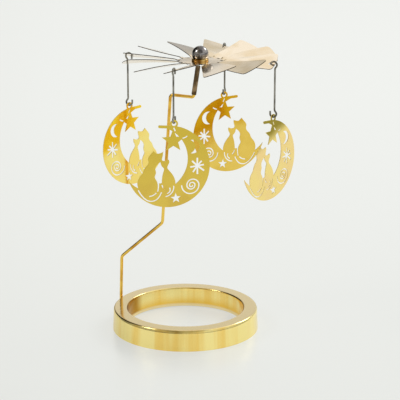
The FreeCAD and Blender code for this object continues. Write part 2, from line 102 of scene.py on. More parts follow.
def add(tree: Tree, kind: str, links: dict[int | str, object] | None = None,
        stops: Stops = (), **settings: object) -> bpy.types.Node:
    """Add one node, set it up and link its inputs.

    Args:
        tree: The node tree that gets the node.
        kind: The node's Blender type name.
        links: Input name or number to a socket to link from, or a plain value to set.
        stops: Place and linear colour of a ramp's stops, in rising order.
        settings: Properties of the node itself.

    Returns:
        The new node.
    """
    node = tree.nodes.new(kind)
    for name, value in settings.items():
        setattr(node, name, value)
    for key, value in (links or {}).items():
        socket = node.inputs[key]
        if isinstance(value, Socket):
            tree.links.new(value, socket)
        else:
            socket.default_value = value
    if stops:
        bar = node.color_ramp
        bar.interpolation = "EASE"
        while len(bar.elements) < len(stops):
            bar.elements.new(1.0)
        for element, (place, colour) in zip(bar.elements, stops):
            element.position = place
            element.color = colour
    return node


def mix(tree: Tree, factor: Socket | float, under: Socket, over: Socket | Rgba,
        blend: str = "MIX") -> Socket:
    """Lay one colour over another.

    Args:
        tree: The node tree.
        factor: How much of the upper colour shows.
        under: The lower colour.
        over: The upper colour.
        blend: How the two are combined, as the Mix node names it.

    Returns:
        The combined colour's socket.
    """
    return add(tree, "ShaderNodeMix", {"Factor": factor, MIX_UNDER: under, MIX_OVER: over},
               data_type="RGBA", blend_type=blend).outputs[MIX_RESULT]


def blank_material(name: str) -> bpy.types.Material:
    """Make a material with an empty node tree.

    Args:
        name: The finish's common name.

    Returns:
        The material.
    """
    material = bpy.data.materials.new(name)
    material.use_nodes = True
    material.node_tree.nodes.clear()
    return material


def foot_of(node: str) -> Array:
    """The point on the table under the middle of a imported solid.

    Args:
        node: The solid's name.

    Returns:
        The point, at zero height.
    """
    low, high = (np.array(corner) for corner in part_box(node))
    return (low + high) / 2 * (1, 1, 0)


@dataclass(frozen=True)
class Metal:
    """A worked metal surface: a colour that drifts a little, fine marks and soft dents."""

    name: str
    colour: str
    shade: str
    roughness: float
    roughness_spread: float = 0.08
    grain: Grain = Grain.CAST
    grain_mm: float = 0.35
    grain_height_mm: float = 0.004
    cloud_mm: float = 9.0
    shade_at: float = 0.35
    colour_at: float = 0.62
    dent_mm: float = 14.0
    dent_height_mm: float = 0.0

    def build(self) -> bpy.types.Material:
        """Build the material from Object coordinates.

        Returns:
            The finished material.
        """
        material = blank_material(self.name)
        tree = material.node_tree
        place = add(tree, "ShaderNodeTexCoord").outputs["Object"]
        colour = self.colour_socket(tree, place)
        marks = self.grain_socket(tree, place)
        rough = add(tree, "ShaderNodeMapRange",
                    {"Value": marks, "From Min": NOISE_LOW, "From Max": NOISE_HIGH,
                     "To Min": self.roughness - self.roughness_spread,
                     "To Max": self.roughness + self.roughness_spread})
        normal = add(tree, "ShaderNodeBump", {"Height": marks, "Strength": 1.0,
                                              "Distance": self.grain_height_mm * MM}).outputs[0]
        if self.dent_height_mm:
            dent = add(tree, "ShaderNodeTexNoise",
                       {"Vector": place, "Scale": 1 / (self.dent_mm * MM), "Detail": 1.0})
            normal = add(tree, "ShaderNodeBump",
                         {"Height": dent.outputs[0], "Strength": 1.0, "Normal": normal,
                          "Distance": self.dent_height_mm * MM}).outputs[0]
        shader = add(tree, "ShaderNodeBsdfPrincipled",
                     {"Base Color": colour, "Metallic": 1.0, "Roughness": rough.outputs[0],
                      "Normal": normal})
        add(tree, "ShaderNodeOutputMaterial", {"Surface": shader.outputs[0]})
        return material

    def colour_socket(self, tree: Tree, place: Socket) -> Socket:
        """Colour that drifts between the metal's two tones in soft clouds.

        Args:
            tree: The material's node tree.
            place: Object coordinates.

        Returns:
            The colour socket.
        """
        cloud = add(tree, "ShaderNodeTexNoise",
                    {"Vector": place, "Scale": 1 / (self.cloud_mm * MM), "Detail": 3.0})
        return add(tree, "ShaderNodeValToRGB", {0: cloud.outputs[0]}, self.tones()).outputs[0]

    def tones(self) -> Stops:
        """The ramp from the metal's shaded tone to its clear one."""
        return (self.shade_at, linear(self.shade)), (self.colour_at, linear(self.colour))

    def grain_socket(self, tree: Tree, place: Socket) -> Socket:
        """Fine working marks, stretched the way the tool ran.

        Args:
            tree: The material's node tree.
            place: Object coordinates.

        Returns:
            The marks' height from 0 to 1.
        """
        stretched = add(tree, "ShaderNodeMapping", {"Vector": place, "Scale": self.grain.value})
        return add(tree, "ShaderNodeTexNoise",
                   {"Vector": stretched.outputs[0], "Scale": 1 / (self.grain_mm * MM),
                    "Detail": 2.0}).outputs[0]


@dataclass(frozen=True)
class MoonSheet(Metal):
    """Pierced sheet with a deeper tone painted towards the top of the ornament, a painted
    reflection of darker surroundings.

    The deeper tone sets in between two heights. The line of the change leans by tilt across
    the object and wanders up and down a little.
    """

    roughness_spread: float = 0.02
    grain: Grain = Grain.UPRIGHT
    grain_mm: float = 0.5
    grain_height_mm: float = 0.0006
    dent_height_mm: float = 0.08
    # The deeper tone towards the top is a painted reflection of darker surroundings.
    painted_top_colour: str = "F0B018"
    low_mm: float = 66.0
    high_mm: float = 98.0
    tilt: float = 0.0
    wander_mm: float = 3.0
    wander_length_mm: float = 5.0

    def colour_socket(self, tree: Tree, place: Socket) -> Socket:
        """Colour that runs from the sheet's own gold up to a deeper painted tone, a painted
        reflection.

        Args:
            tree: The material's node tree.
            place: Object coordinates.

        Returns:
            The colour socket.
        """
        base = super().colour_socket(tree, place)
        across, _, height = add(tree, "ShaderNodeSeparateXYZ", {0: place}).outputs
        lean = add(tree, "ShaderNodeMath", {0: across, 1: self.tilt, 2: height},
                   operation="MULTIPLY_ADD")
        drift = add(tree, "ShaderNodeTexNoise",
                    {"Vector": place, "Scale": 1 / (self.wander_length_mm * MM), "Detail": 3.0})
        level = add(tree, "ShaderNodeMath", {0: drift.outputs[0], 1: self.wander_mm * MM,
                                             2: lean.outputs[0]}, operation="MULTIPLY_ADD")
        rise = add(tree, "ShaderNodeMapRange",
                   {"Value": level.outputs[0], "From Min": self.low_mm * MM,
                    "From Max": self.high_mm * MM}, interpolation_type="SMOOTHSTEP")
        # Mix in the painted reflection towards the top.
        return mix(tree, rise.outputs[0], base, linear(self.painted_top_colour))


@dataclass(frozen=True)
class BandedRing(Metal):
    """Drawn ring: walls with upright bands painted in as reflections of the surroundings, a paler
    painted top where it mirrors the sky, and painted light in the well: deeper gold shade, a pale
    painted reflection at its foot and a dark painted reflection on its left side.

    The pairs of sizes are where a painted tone starts and where it is full: by height for the
    well's shade and the foot's reflection, and by the distance across from the ring's middle for
    the dark reflection.
    """

    shade_at: float = 0.38
    colour_at: float = 0.6
    painted_band_mm: float = 9.0
    painted_band_squeeze: float = 0.03
    # Painted light: a paler top where it faces up, deeper gold shade in the well, a pale
    # reflection at the well's foot and a dark reflection on the well's left side.
    painted_top_colour: str = "F0DAA4"
    painted_top_facing: tuple[float, float] = (0.6, 0.95)
    painted_well_shade: str = "F2BE38"
    painted_well_shade_mm: tuple[float, float] = (6.5, 0.0)
    painted_tone_reach_mm: float = 5.0
    painted_foot_reflection: str = "F6E2AC"
    painted_foot_reflection_mm: tuple[float, float] = (2.2, 1.2)
    painted_dark_reflection: str = "B8860E"
    painted_dark_reflection_mm: tuple[float, float] = (-19.0, -23.0)

    def colour_socket(self, tree: Tree, place: Socket) -> Socket:
        """Colour in upright bands painted as reflections, noise that ignores the height, under the
        other painted tones.

        A wall belongs to the well where it faces the ring's middle: there the way out from
        the middle, times the way the surface faces, is below zero.

        Args:
            tree: The material's node tree.
            place: Object coordinates.

        Returns:
            The colour socket.
        """
        # Upright bands of the two tones, painted in as reflections of the surroundings.
        squeezed = add(tree, "ShaderNodeMapping",
                       {"Vector": place, "Scale": (1.0, 1.0, self.painted_band_squeeze)})
        painted_bands = add(tree, "ShaderNodeTexNoise",
                      {"Vector": squeezed.outputs[0], "Scale": 1 / (self.painted_band_mm * MM),
                       "Detail": 3.0, "Roughness": 0.6})
        colour = add(tree, "ShaderNodeValToRGB", {0: painted_bands.outputs[0]},
                     self.tones()).outputs[0]
        height = add(tree, "ShaderNodeSeparateXYZ", {0: place}).outputs["Z"]
        out = add(tree, "ShaderNodeVectorMath", {0: place, 1: foot_of("base_ring").tolist()},
                  operation="SUBTRACT").outputs[0]
        across = add(tree, "ShaderNodeSeparateXYZ", {0: out}).outputs["X"]
        facing = add(tree, "ShaderNodeNewGeometry").outputs["Normal"]
        inward = add(tree, "ShaderNodeVectorMath", {0: out, 1: facing},
                     operation="DOT_PRODUCT").outputs["Value"]
        # The inner walls, facing the middle, take the painted shade and reflections below.
        well = add(tree, "ShaderNodeMapRange", {"Value": inward, "From Min": 0.0,
                                                "From Max": -self.painted_tone_reach_mm * MM})
        for tone, along, (start, full), curve in (
                (self.painted_well_shade, height, self.painted_well_shade_mm, "SMOOTHSTEP"),
                (self.painted_dark_reflection, across, self.painted_dark_reflection_mm, "SMOOTHSTEP"),
                (self.painted_foot_reflection, height, self.painted_foot_reflection_mm, "LINEAR")):
            fade = add(tree, "ShaderNodeMapRange",
                       {"Value": along, "From Min": start * MM, "From Max": full * MM},
                       interpolation_type=curve)
            share = add(tree, "ShaderNodeMath", {0: well.outputs[0], 1: fade.outputs[0]},
                        operation="MULTIPLY")
            colour = mix(tree, share.outputs[0], colour, linear(tone))
        # Where the top faces up it gets a paler painted tone, standing in for the sky it mirrors.
        upward = add(tree, "ShaderNodeSeparateXYZ", {0: facing}).outputs["Z"]
        top = add(tree, "ShaderNodeMapRange", {"Value": upward, "From Min": self.painted_top_facing[0],
                                               "From Max": self.painted_top_facing[1]})
        return mix(tree, top.outputs[0], colour, linear(self.painted_top_colour))


# Deep drawn steel with bright gold lacquer: near mirror, with upright bands painted into its
# colour as reflections of the surroundings, and painted light on the top and in the well.
RING_GOLD = BandedRing("Gold lacquered drawn steel", "FFEC9C", "F8D474", 0.14,
                       roughness_spread=0.03, grain=Grain.ROUND, grain_mm=0.5,
                       grain_height_mm=0.001)
# Gold lacquered spring wire: drawn lengthways, so it is smooth along its run.
WIRE_GOLD = Metal("Gold lacquered drawn wire", "FAD264", "DAA43C", 0.16,
                  roughness_spread=0.04, grain=Grain.UPRIGHT, grain_mm=0.3,
                  grain_height_mm=0.002, cloud_mm=6.0)
# Soft solder under the same lacquer: lumpy and a little duller.
SOLDER_GOLD = Metal("Lacquered solder", "CFA656", "A87E38", 0.34, grain_mm=0.8,
                    grain_height_mm=0.02, cloud_mm=2.0)
# Ground steel point: bright, with marks round the cone.
NEEDLE_STEEL = Metal("Ground needle steel", "B9B6AE", "8F8C84", 0.25, grain=Grain.ROUND)
# Bronze tube, chemically darkened: brown black with worn lighter streaks.
SLEEVE_BRONZE = Metal("Darkened bronze tube", "A48A68", "5E4C34", 0.32, grain=Grain.UPRIGHT,
                      grain_mm=0.6, cloud_mm=3.5)
# Thin tinplate with pale champagne lacquer: soft mirror with shallow dents from the press.
FAN_SHEET = Metal("Champagne lacquered tinplate", "FBEBD2", "F0DAB6", 0.13,
                  roughness_spread=0.04, grain=Grain.ALONG_X, grain_mm=0.4,
                  grain_height_mm=0.001, cloud_mm=12.0, dent_mm=16.0, dent_height_mm=0.4)
# The same sheet where the press sheared it: bare and rough, no lacquer, painted dark as shade for
# the dim surroundings that its edges mirror.
FAN_EDGE_SHADE = Metal("Sheared tinplate edge", "3E2E16", "20160C", 0.45, grain_mm=0.3)
# Turned brass: warm mirror with fine rings.
BUSH_BRASS = Metal("Turned brass", "EED08A", "9C6C22", 0.12, roughness_spread=0.04,
                   grain=Grain.ROUND, grain_mm=0.25, grain_height_mm=0.002, cloud_mm=2.5)
# Black nickel plate on a pressed dome: dark mirror.
CAP_DARK = Metal("Black nickel plate", "AEAAA8", "6E6A68", 0.08, roughness_spread=0.03,
                 grain_mm=0.5, grain_height_mm=0.001, cloud_mm=2.5)
# Bright drawn steel wire, plain: grey with a soft sheen.
HOOK_WIRE = Metal("Bright drawn steel wire", "9C9990", "6C6A62", 0.28,
                  roughness_spread=0.04, grain=Grain.UPRIGHT, grain_mm=0.3,
                  grain_height_mm=0.002, cloud_mm=4.0)
# Etched steel sheet with gold lacquer: each ornament has a tone of its own, and a deeper tone is
# painted towards the top near the eyelet, a painted reflection of darker surroundings.
MOON_GOLD = (
    MoonSheet("Gold lacquered etched sheet, pale", "FFE692", "FDDF98", 0.12,
              painted_top_colour="A08F36", low_mm=70.5, high_mm=77.0, tilt=-0.6),
    MoonSheet("Gold lacquered etched sheet, warm", "F2D064", "EAC658", 0.14,
              painted_top_colour="DCA91C", low_mm=81.5, high_mm=87.5, tilt=-0.25),
    MoonSheet("Gold lacquered etched sheet, orange", "FFEA8C", "FFE27C", 0.1,
              painted_top_colour="FFDA3C", low_mm=104.5, high_mm=108.5, tilt=-0.6),
    MoonSheet("Gold lacquered etched sheet, olive", "EBCC5C", "E3C258", 0.16,
              painted_top_colour="DEC24C", low_mm=70.0, high_mm=100.0),
)
# Where the acid cut the same sheet: lacquered too, but matt, so it mirrors nothing sharply, and
# painted paler than the faces as a highlight along the cut edges.
MOON_EDGE_HIGHLIGHT = Metal("Gold lacquered etched edge", "FFF2B4", "FFE694", 0.6, grain_mm=0.3)


def mesh_object(name: str, points: Array, faces: Array) -> Piece:
    """Make an object from points and quads, smooth but for its sharp edges.

    Args:
        name: The piece's name.
        points: Vertices, one row each, in metres.
        faces: Vertex numbers, one row of four each.

    Returns:
        The object, linked to the scene.
    """
    mesh = bpy.data.meshes.new(name)
    mesh.from_pydata(points.tolist(), [], faces.tolist())
    mesh.validate()
    mesh.shade_smooth()
    mesh.set_sharp_from_angle(angle=SHARP)
    piece = bpy.data.objects.new(name, mesh)
    bpy.context.collection.objects.link(piece)
    return piece


def grid_faces(rows: int, columns: int, close_rows: bool = False,
               close_columns: bool = False) -> Array:
    """Quads of a grid whose point number is row times columns plus column.

    Args:
        rows: Points along the first direction.
        columns: Points along the second direction.
        close_rows: Whether the last row joins the first.
        close_columns: Whether the last column joins the first.

    Returns:
        One row of four point numbers for each quad.
    """
    i = np.arange(rows if close_rows else rows - 1)[:, None]
    j = np.arange(columns if close_columns else columns - 1)[None, :]
    below = (i + 1) % rows
    right = (j + 1) % columns
    quads = [i * columns + j, below * columns + j, below * columns + right, i * columns + right]
    return np.stack(np.broadcast_arrays(*quads), -1).reshape(-1, 4)


def outward(points: Array, faces: Array) -> Array:
    """Turn a closed shell's faces so that they point outwards.

    Args:
        points: Vertices.
        faces: Quads.

    Returns:
        The quads, reversed if the shell's signed volume was negative.
    """
    a, b, c, d = (points[faces[:, k]] for k in range(4))
    volume = np.einsum("ij,ij->", a, np.cross(b, c)) + np.einsum("ij,ij->", a, np.cross(c, d))
    return faces if volume > 0 else faces[:, ::-1]


def arc(middle: tuple[float, float], radius: float, start: float, end: float,
        count: int) -> Array:
    """Points of an arc in the plane of radius and height: middle + radius (cos t, sin t).

    Args:
        middle: The arc's middle.
        radius: Its radius.
        start: First angle in degrees.
        end: Last angle in degrees.
        count: Number of points.

    Returns:
        The points, one row each.
    """
    t = np.radians(np.linspace(start, end, count))
    return np.stack([middle[0] + radius * np.cos(t), middle[1] + radius * np.sin(t)], 1)


def revolve(profile: Array, foot: Array, steps: int,
            ripple: Callable[[Array], Array] | None = None) -> tuple[Array, Array]:
    """Carry a profile round an upright axis.

    A point is foot + (r cos t, r sin t, z), where r may swell a little with the angle t. An
    outline that starts on the axis is left open there, because it ends on the axis too.

    Args:
        profile: Radius and height of each point of the outline.
        foot: The axis' foot.
        steps: Number of steps round the axis.
        ripple: Change of radius against the angle.

    Returns:
        The points and the outward faces.
    """
    t = np.linspace(0, 2 * np.pi, steps, endpoint=False)[:, None]
    r = profile[None, :, 0] + (ripple(t) if ripple else 0)
    z = np.broadcast_to(profile[None, :, 1], (steps, len(profile)))
    points = np.stack([r * np.cos(t), r * np.sin(t), z], -1).reshape(-1, 3) + foot
    closed = bool(profile[0, 0] > 0)
    return points, outward(points, grid_faces(steps, len(profile), True, closed))


def apply_modifiers(piece: Piece) -> None:
    """Replace a piece's mesh by its evaluated mesh and drop its modifiers.

    Args:
        piece: The piece with live modifiers.
    """
    graph = bpy.context.evaluated_depsgraph_get()
    mesh = bpy.data.meshes.new_from_object(piece.evaluated_get(graph))
    piece.modifiers.clear()
    piece.data = mesh


def weld(piece: Piece, distance: float) -> None:
    """Merge points that lie closer together than a distance.

    Args:
        piece: The piece to merge.
        distance: The distance in metres.
    """
    join = piece.modifiers.new("weld", "WELD")
    join.merge_threshold = distance
    apply_modifiers(piece)


def dress(piece: Piece, material: bpy.types.Material) -> None:
    """Give every material slot of a piece one material.

    Args:
        piece: The piece to dress.
        material: Its material.
    """
    slots = piece.data.materials
    if not slots:
        slots.append(material)
    for i in range(len(slots)):
        slots[i] = material


def dress_edges(piece: Piece, material: bpy.types.Material) -> None:
    """Give the narrow faces of a flat sheet a material of their own.

    The way the sheet faces is the line that its faces' normals, weighted by area, spread
    along most.

    Args:
        piece: The sheet, at rest.
        material: The material for every face that doesn't lie along the sheet.
    """
    piece.data.materials.append(material)
    polygons = piece.data.polygons
    normals, areas = np.empty(3 * len(polygons)), np.empty(len(polygons))
    polygons.foreach_get("normal", normals)
    polygons.foreach_get("area", areas)
    normals = normals.reshape(-1, 3)
    across = np.linalg.eigh((normals * areas[:, None]).T @ normals)[1][:, -1]
    edge = np.abs(normals @ across) < EDGE_COSINE
    last = len(piece.data.materials) - 1
    polygons.foreach_set("material_index", edge.astype(np.int32) * last)


@dataclass
class CandleRing:
    """The drawn channel ring that holds the candle, open underneath."""

    width_mm: float = 6.15
    sheet_mm: float = 0.6
    flare_mm: float = 0.5
    inner_lift_mm: float = 0.4
    outer_edge_mm: float = 0.7
    inner_edge_mm: float = 0.65
    ripple_mm: float = 0.012
    waves: int = 5
    seed: int = 7
    steps: int = 360
    wall_rows: int = 8
    top_rows: int = 10
    edge_rows: int = 9
    hidden_rows: int = 5
    hidden_edge_rows: int = 4

    def profile(self, radius: float, height: float) -> Array:
        """The channel's section: up the outer wall, over the rounded top, down the inner wall,
        and back underneath at the sheet's thickness.

        An arc stops a few degrees short of a wall where the wall slopes or the bend is tight.

        Args:
            radius: Outer radius at the foot.
            height: Height of the top face.

        Returns:
            Radius and height of the closed outline's points.
        """
        sheet, lift = self.sheet_mm * MM, self.inner_lift_mm * MM
        outer, inner = self.outer_edge_mm * MM, self.inner_edge_mm * MM
        top = radius - self.flare_mm * MM
        well = top - self.width_mm * MM
        slope = self.flare_mm * MM * outer / height
        outer_bend, inner_bend = (top - outer, height - outer), (well + inner, height - inner)
        return np.concatenate([
            np.linspace((radius, 0), (top + slope, height - outer), self.wall_rows),
            arc(outer_bend, outer, 4, 90, self.edge_rows),
            np.linspace((top - outer, height), (well + inner, height), self.top_rows)[1:-1],
            arc(inner_bend, inner, 90, 180, self.edge_rows),
            np.linspace((well, height - inner), (well, lift), self.wall_rows)[1:],
            np.linspace((well + sheet, lift), (well + sheet, height - inner),
                        self.hidden_rows),
            arc(inner_bend, inner - sheet, 176, 94, self.hidden_edge_rows),
            arc(outer_bend, outer - sheet, 90, 10, self.hidden_edge_rows),
            np.linspace((top - sheet, height - outer), (radius - sheet, 0),
                        self.hidden_rows)])

    def ripple(self, t: Array) -> Array:
        """How much the drawn walls stray at an angle: a few sine waves, each weaker.

        The waves go 5, 9, 13 and more times round, and the 2 that is taken off their sum
        keeps nearly all of it inside the nominal radius.

        Args:
            t: Angles round the ring.

        Returns:
            The change of radius, in metres.
        """
        orders = np.arange(self.waves)
        starts = np.random.default_rng(self.seed).uniform(0, 2 * np.pi, self.waves)
        swell = np.sin((5 + 4 * orders) * t + starts) / (orders + 1)
        return self.ripple_mm * MM * (swell.sum(-1, keepdims=True) - 2)

    def build(self) -> list[Piece]:
        """Build the ring in its solid's place and dress it.

        Returns:
            The ring.
        """
        low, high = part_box("base_ring")
        profile = self.profile((high[0] - low[0]) / 2, high[2])
        points, faces = revolve(profile, foot_of("base_ring"), self.steps, self.ripple)
        ring = mesh_object("candle_ring", points, faces)
        dress(ring, RING_GOLD.build())
        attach(ring, "base")
        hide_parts("base_ring")
        return [ring]


@dataclass
class DomeCap:
    """The pressed dome over the needle's seat, with a rolled lip."""

    sheet_mm: float = 0.4
    lip_degrees: float = 4.0
    outer_rows: int = 30
    inner_rows: int = 24
    lip_rows: int = 7
    steps: int = 72
    weld_mm: float = 0.001

    def profile(self, radius: float, foot: float, top: float) -> Array:
        """The dome's section: an inner arc down from the axis, the rolled lip, and an outer
        arc back up to the axis.

        Args:
            radius: The dome's outer radius.
            foot: Height of the lip.
            top: Height of the crown.

        Returns:
            Radius and height of the outline's points, both ends on the axis.
        """
        sheet = self.sheet_mm * MM
        centre = top - radius
        outer_start, inner_start = (
            math.degrees(math.asin((foot - centre) / r)) + self.lip_degrees
            for r in (radius, radius - sheet))
        inside = arc((0, centre), radius - sheet, 90, inner_start, self.inner_rows)
        outside = arc((0, centre), radius, outer_start, 90, self.outer_rows)
        inside[0, 0] = outside[-1, 0] = 0
        lip_middle = ((outside[0, 0] + inside[-1, 0]) / 2, foot + sheet / 2)
        lip = arc(lip_middle, sheet / 2, -160, -20, self.lip_rows)
        return np.concatenate([inside, lip, outside])

    def build(self) -> list[Piece]:
        """Build the cap in its solid's place and dress it.

        Returns:
            The cap.
        """
        low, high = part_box("hub_cap")
        profile = self.profile((high[0] - low[0]) / 2, low[2], high[2])
        cap = mesh_object("dome_cap", *revolve(profile, foot_of("hub_cap"), self.steps))
        weld(cap, self.weld_mm * MM)
        dress(cap, CAP_DARK.build())
        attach(cap, "rotor")
        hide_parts("hub_cap")
        return [cap]


@dataclass
class DraughtFan:
    """Twelve blades pressed and twisted from one sheet, with a hub between them."""

    height_mm: float = 122.3
    sheet_mm: float = 0.3
    rim_mm: float = 34.0
    hub_mm: float = 9.3
    bore_mm: float = 2.5
    relief_mm: float = 0.85
    relief_outset_mm: float = 0.2
    neck_mm: float = 1.7
    slit_root_mm: float = 1.1
    slit_rim_mm: float = 2.8
    corner_mm: float = 1.3
    phase: float = -17.1
    pitch: float = 16.3
    cones: tuple[float, ...] = (3.0, 3.8, 5.5, 4.0, 3.0, 3.0, 2.6, 3.0, 1.3, 5.2, 3.2, 4.2)
    bows_mm: tuple[float, ...] = (0.1, 0.3, -0.3, 0.1, 0.3, -0.2,
                                  0.1, 0.3, 0.2, 0.1, 0.3, -0.3)
    camber_mm: float = 0.25
    camber_turn: float = 2.1
    hole_mm: float = 0.95
    strip_mm: float = 1.15
    hook_lag: float = 4.0
    hooks: int = 4
    count: int = 12
    across: int = 25
    along: int = 36
    neck_share: float = 0.12
    bite_points: int = 14
    hub_rows: int = 8
    hole_sides: int = 32
    weld_mm: float = 0.02

    def step(self) -> float:
        """The angle from one blade to the next, in radians."""
        return math.radians(360 / self.count)

    def half_width(self, reach: float, gap: float) -> float:
        """Half a blade's width where a slit leaves a gap, at a radius of the slit's middle.

        Args:
            reach: The radius.
            gap: The slit's width there.

        Returns:
            Half the width, in the same unit.
        """
        return reach * math.sin(self.step() / 2) - gap / 2 * math.cos(self.step() / 2)

    def tab_half(self) -> float:
        """Half the width that is left between two relief holes at the hub's edge.

        Returns:
            Half the width, in millimetres.
        """
        reach = self.hub_mm + self.relief_outset_mm
        off = self.hub_mm - reach * math.cos(self.step() / 2)
        return reach * math.sin(self.step() / 2) - math.sqrt(self.relief_mm ** 2 - off ** 2)

    def spread(self) -> Array:
        """Places across a blade from -1 to 1, closer together at its edges."""
        return np.sin(np.linspace(-np.pi / 2, np.pi / 2, self.across))

    def blade(self, number: int) -> Array:
        """One blade's middle surface, neck included.

        A point lies at radius x and across y on a flat plan. It is turned about the blade's
        line by the pitch, which grows smoothly over the neck, and lifted by the cone angle
        about the hub's edge. A sine bow and a shallow camber bend the sheet between hub and rim.

        Args:
            number: Which blade, counted anticlockwise.

        Returns:
            Points in millimetres about the fan's axis, along by across.
        """
        t = self.spread()[None, :]
        s = np.linspace(0, 1, self.along)[:, None]
        neck = np.clip(s / self.neck_share, 0, 1)
        leaf = np.clip((s - self.neck_share) / (1 - self.neck_share), 0, 1)
        root = self.hub_mm + self.neck_mm
        root_half = self.half_width(root / math.cos(self.step() / 2), self.slit_root_mm)
        rim_half = self.half_width(self.rim_mm, self.slit_rim_mm)
        corner = self.corner_mm
        over = np.clip(np.abs(t) * rim_half - (rim_half - corner), 0, corner)
        rim = (np.sqrt(self.rim_mm ** 2 - (t * rim_half) ** 2) - corner
               + np.sqrt(np.clip(corner ** 2 - over ** 2, 0, None)))
        x = self.hub_mm + neck * self.neck_mm + leaf * (rim - root)
        share = np.clip((x - root) / (self.rim_mm - corner - root), 0, 1)
        tab = self.tab_half()
        y = t * np.where(s < self.neck_share, tab + (root_half - tab) * neck,
                         root_half + (rim_half - root_half) * share)
        bow = self.bows_mm[number % len(self.bows_mm)] * np.sin(np.pi * leaf)
        camber = (self.camber_mm * (1 - t ** 2) * np.sin(np.pi * leaf)
                  * math.cos(number * self.camber_turn))
        turn = np.radians(self.pitch) * neck * neck * (3 - 2 * neck)
        z = bow + camber
        y, z = y * np.cos(turn) - z * np.sin(turn), y * np.sin(turn) + z * np.cos(turn)
        lift = np.radians(self.cones[number % len(self.cones)]) * neck
        reach = x - self.hub_mm
        x, z = (self.hub_mm + reach * np.cos(lift) - z * np.sin(lift),
                reach * np.sin(lift) + z * np.cos(lift))
        angle = math.radians(self.phase) + self.step() * number
        return np.stack([x * math.cos(angle) - y * math.sin(angle),
                         x * math.sin(angle) + y * math.cos(angle), z], -1)

    def hub(self) -> Array:
        """The hub's middle surface, from the bore to an edge with relief bites.

        Each edge point is on the straight tab of its blade, or on the near side of the round
        relief hole between two blades.

        Returns:
            Points in millimetres, from the bore outwards by round.
        """
        step = self.step()
        reach = self.hub_mm + self.relief_outset_mm
        tab = np.arctan(self.spread() * self.tab_half() / self.hub_mm)
        bite = np.linspace(tab[-1], step - tab[-1], self.bite_points)[1:-1]
        off = bite - step / 2
        root = np.clip(self.relief_mm ** 2 - (reach * np.sin(off)) ** 2, 0, None)
        edge = np.concatenate([self.hub_mm / np.cos(tab), reach * np.cos(off) - np.sqrt(root)])
        turns = math.radians(self.phase) + step * np.arange(self.count)
        angles = (turns[:, None] + np.concatenate([tab, bite])[None, :]).ravel()
        share = np.linspace(0, 1, self.hub_rows)[:, None]
        r = self.bore_mm + share * (np.tile(edge, self.count)[None, :] - self.bore_mm)
        return np.stack([r * np.cos(angles), r * np.sin(angles), np.zeros_like(r)], -1)

    def build(self) -> list[Piece]:
        """Build the fan in its solid's place, punch the hook holes and dress it.

        Returns:
            The fan.
        """
        hub = self.hub()
        blade_faces = grid_faces(self.along, self.across)
        starts = hub.shape[0] * hub.shape[1] + self.along * self.across * np.arange(self.count)
        points = np.concatenate([hub.reshape(-1, 3)] + [
            self.blade(number).reshape(-1, 3) for number in range(self.count)])
        faces = np.concatenate([grid_faces(*hub.shape[:2], close_columns=True)] + [
            blade_faces + start for start in starts])
        joint = next(j for j in frame["joints"] if j["name"] == "fan_spin")
        axis = np.array([*joint["pos_m"][:2], self.height_mm * MM])
        fan = mesh_object("fan_blades", points * MM + axis, faces)
        weld(fan, self.weld_mm * MM)
        fan.data.materials.append(FAN_SHEET.build())
        # The sheared edges get the painted dark shade.
        fan.data.materials.append(FAN_EDGE_SHADE.build())
        thick = fan.modifiers.new("sheet", "SOLIDIFY")
        thick.thickness = self.sheet_mm * MM
        thick.offset = 0
        thick.material_offset_rim = 1
        apply_modifiers(fan)
        for number in range(0, self.count, self.count // self.hooks):
            self.punch(fan, number, axis)
        fan.data.set_sharp_from_angle(angle=SHARP)
        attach(fan, "rotor")
        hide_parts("fan")
        return [fan]

    def punch(self, fan: Piece, number: int, axis: Array) -> None:
        """Cut one hook hole, square to its blade.

        Args:
            fan: The thickened fan.
            number: The blade that gets the hole.
            axis: The fan's middle.
        """
        lag = math.radians(-self.hook_lag)
        reach = self.rim_mm - self.strip_mm - self.hole_mm
        flat = Vector((reach * math.cos(lag) - self.hub_mm, reach * math.sin(lag), 0)) * MM
        turn = Matrix.Rotation(math.radians(self.phase + 360 / self.count * number), 4, "Z")
        lift = Matrix.Rotation(-math.radians(self.cones[number % len(self.cones)]), 4, "Y")
        pitch = Matrix.Rotation(math.radians(self.pitch), 4, "X")
        place = (Matrix.Translation(axis.tolist()) @ turn
                 @ Matrix.Translation((self.hub_mm * MM, 0, 0)) @ lift @ pitch
                 @ Matrix.Translation(flat))
        # The cutter is a drum as wide as the hole, from 1 mm below the sheet to 1 mm above.
        # Its ends narrow to a hundredth of that width, well clear of the sheet.
        levels = ((0.01, -MM), (1, -MM), (1, MM), (0.01, MM))
        t = np.linspace(0, 2 * np.pi, self.hole_sides, endpoint=False)
        ring = np.stack([np.cos(t) * self.hole_mm * MM, np.sin(t) * self.hole_mm * MM], 1)
        points = np.concatenate([np.column_stack([ring * share, np.full(len(t), z)])
                                 for share, z in levels])
        faces = outward(points, grid_faces(len(levels), len(t), close_columns=True))
        cutter = mesh_object("cutter", points, faces)
        cutter.data.transform(place)
        cut = fan.modifiers.new("hole", "BOOLEAN")
        cut.object = cutter
        cut.operation = "DIFFERENCE"
        cut.solver = "EXACT"
        apply_modifiers(fan)
        bpy.data.objects.remove(cutter)


@dataclass
class Stem:
    """The bent wire stem with its solder seam, needle and sleeve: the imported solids, dressed."""

    finishes: tuple[tuple[str, Metal], ...] = (
        ("stem_rod", WIRE_GOLD), ("stem_solder", SOLDER_GOLD), ("pivot_needle", NEEDLE_STEEL),
        ("pivot_sleeve", SLEEVE_BRONZE), ("hub_bush", BUSH_BRASS))

    def build(self) -> list[Piece]:
        """Dress the solids.

        Returns:
            The dressed pieces.
        """
        for name, finish in self.finishes:
            dress(NODES[name], finish.build())
        return [NODES[name] for name, _ in self.finishes]


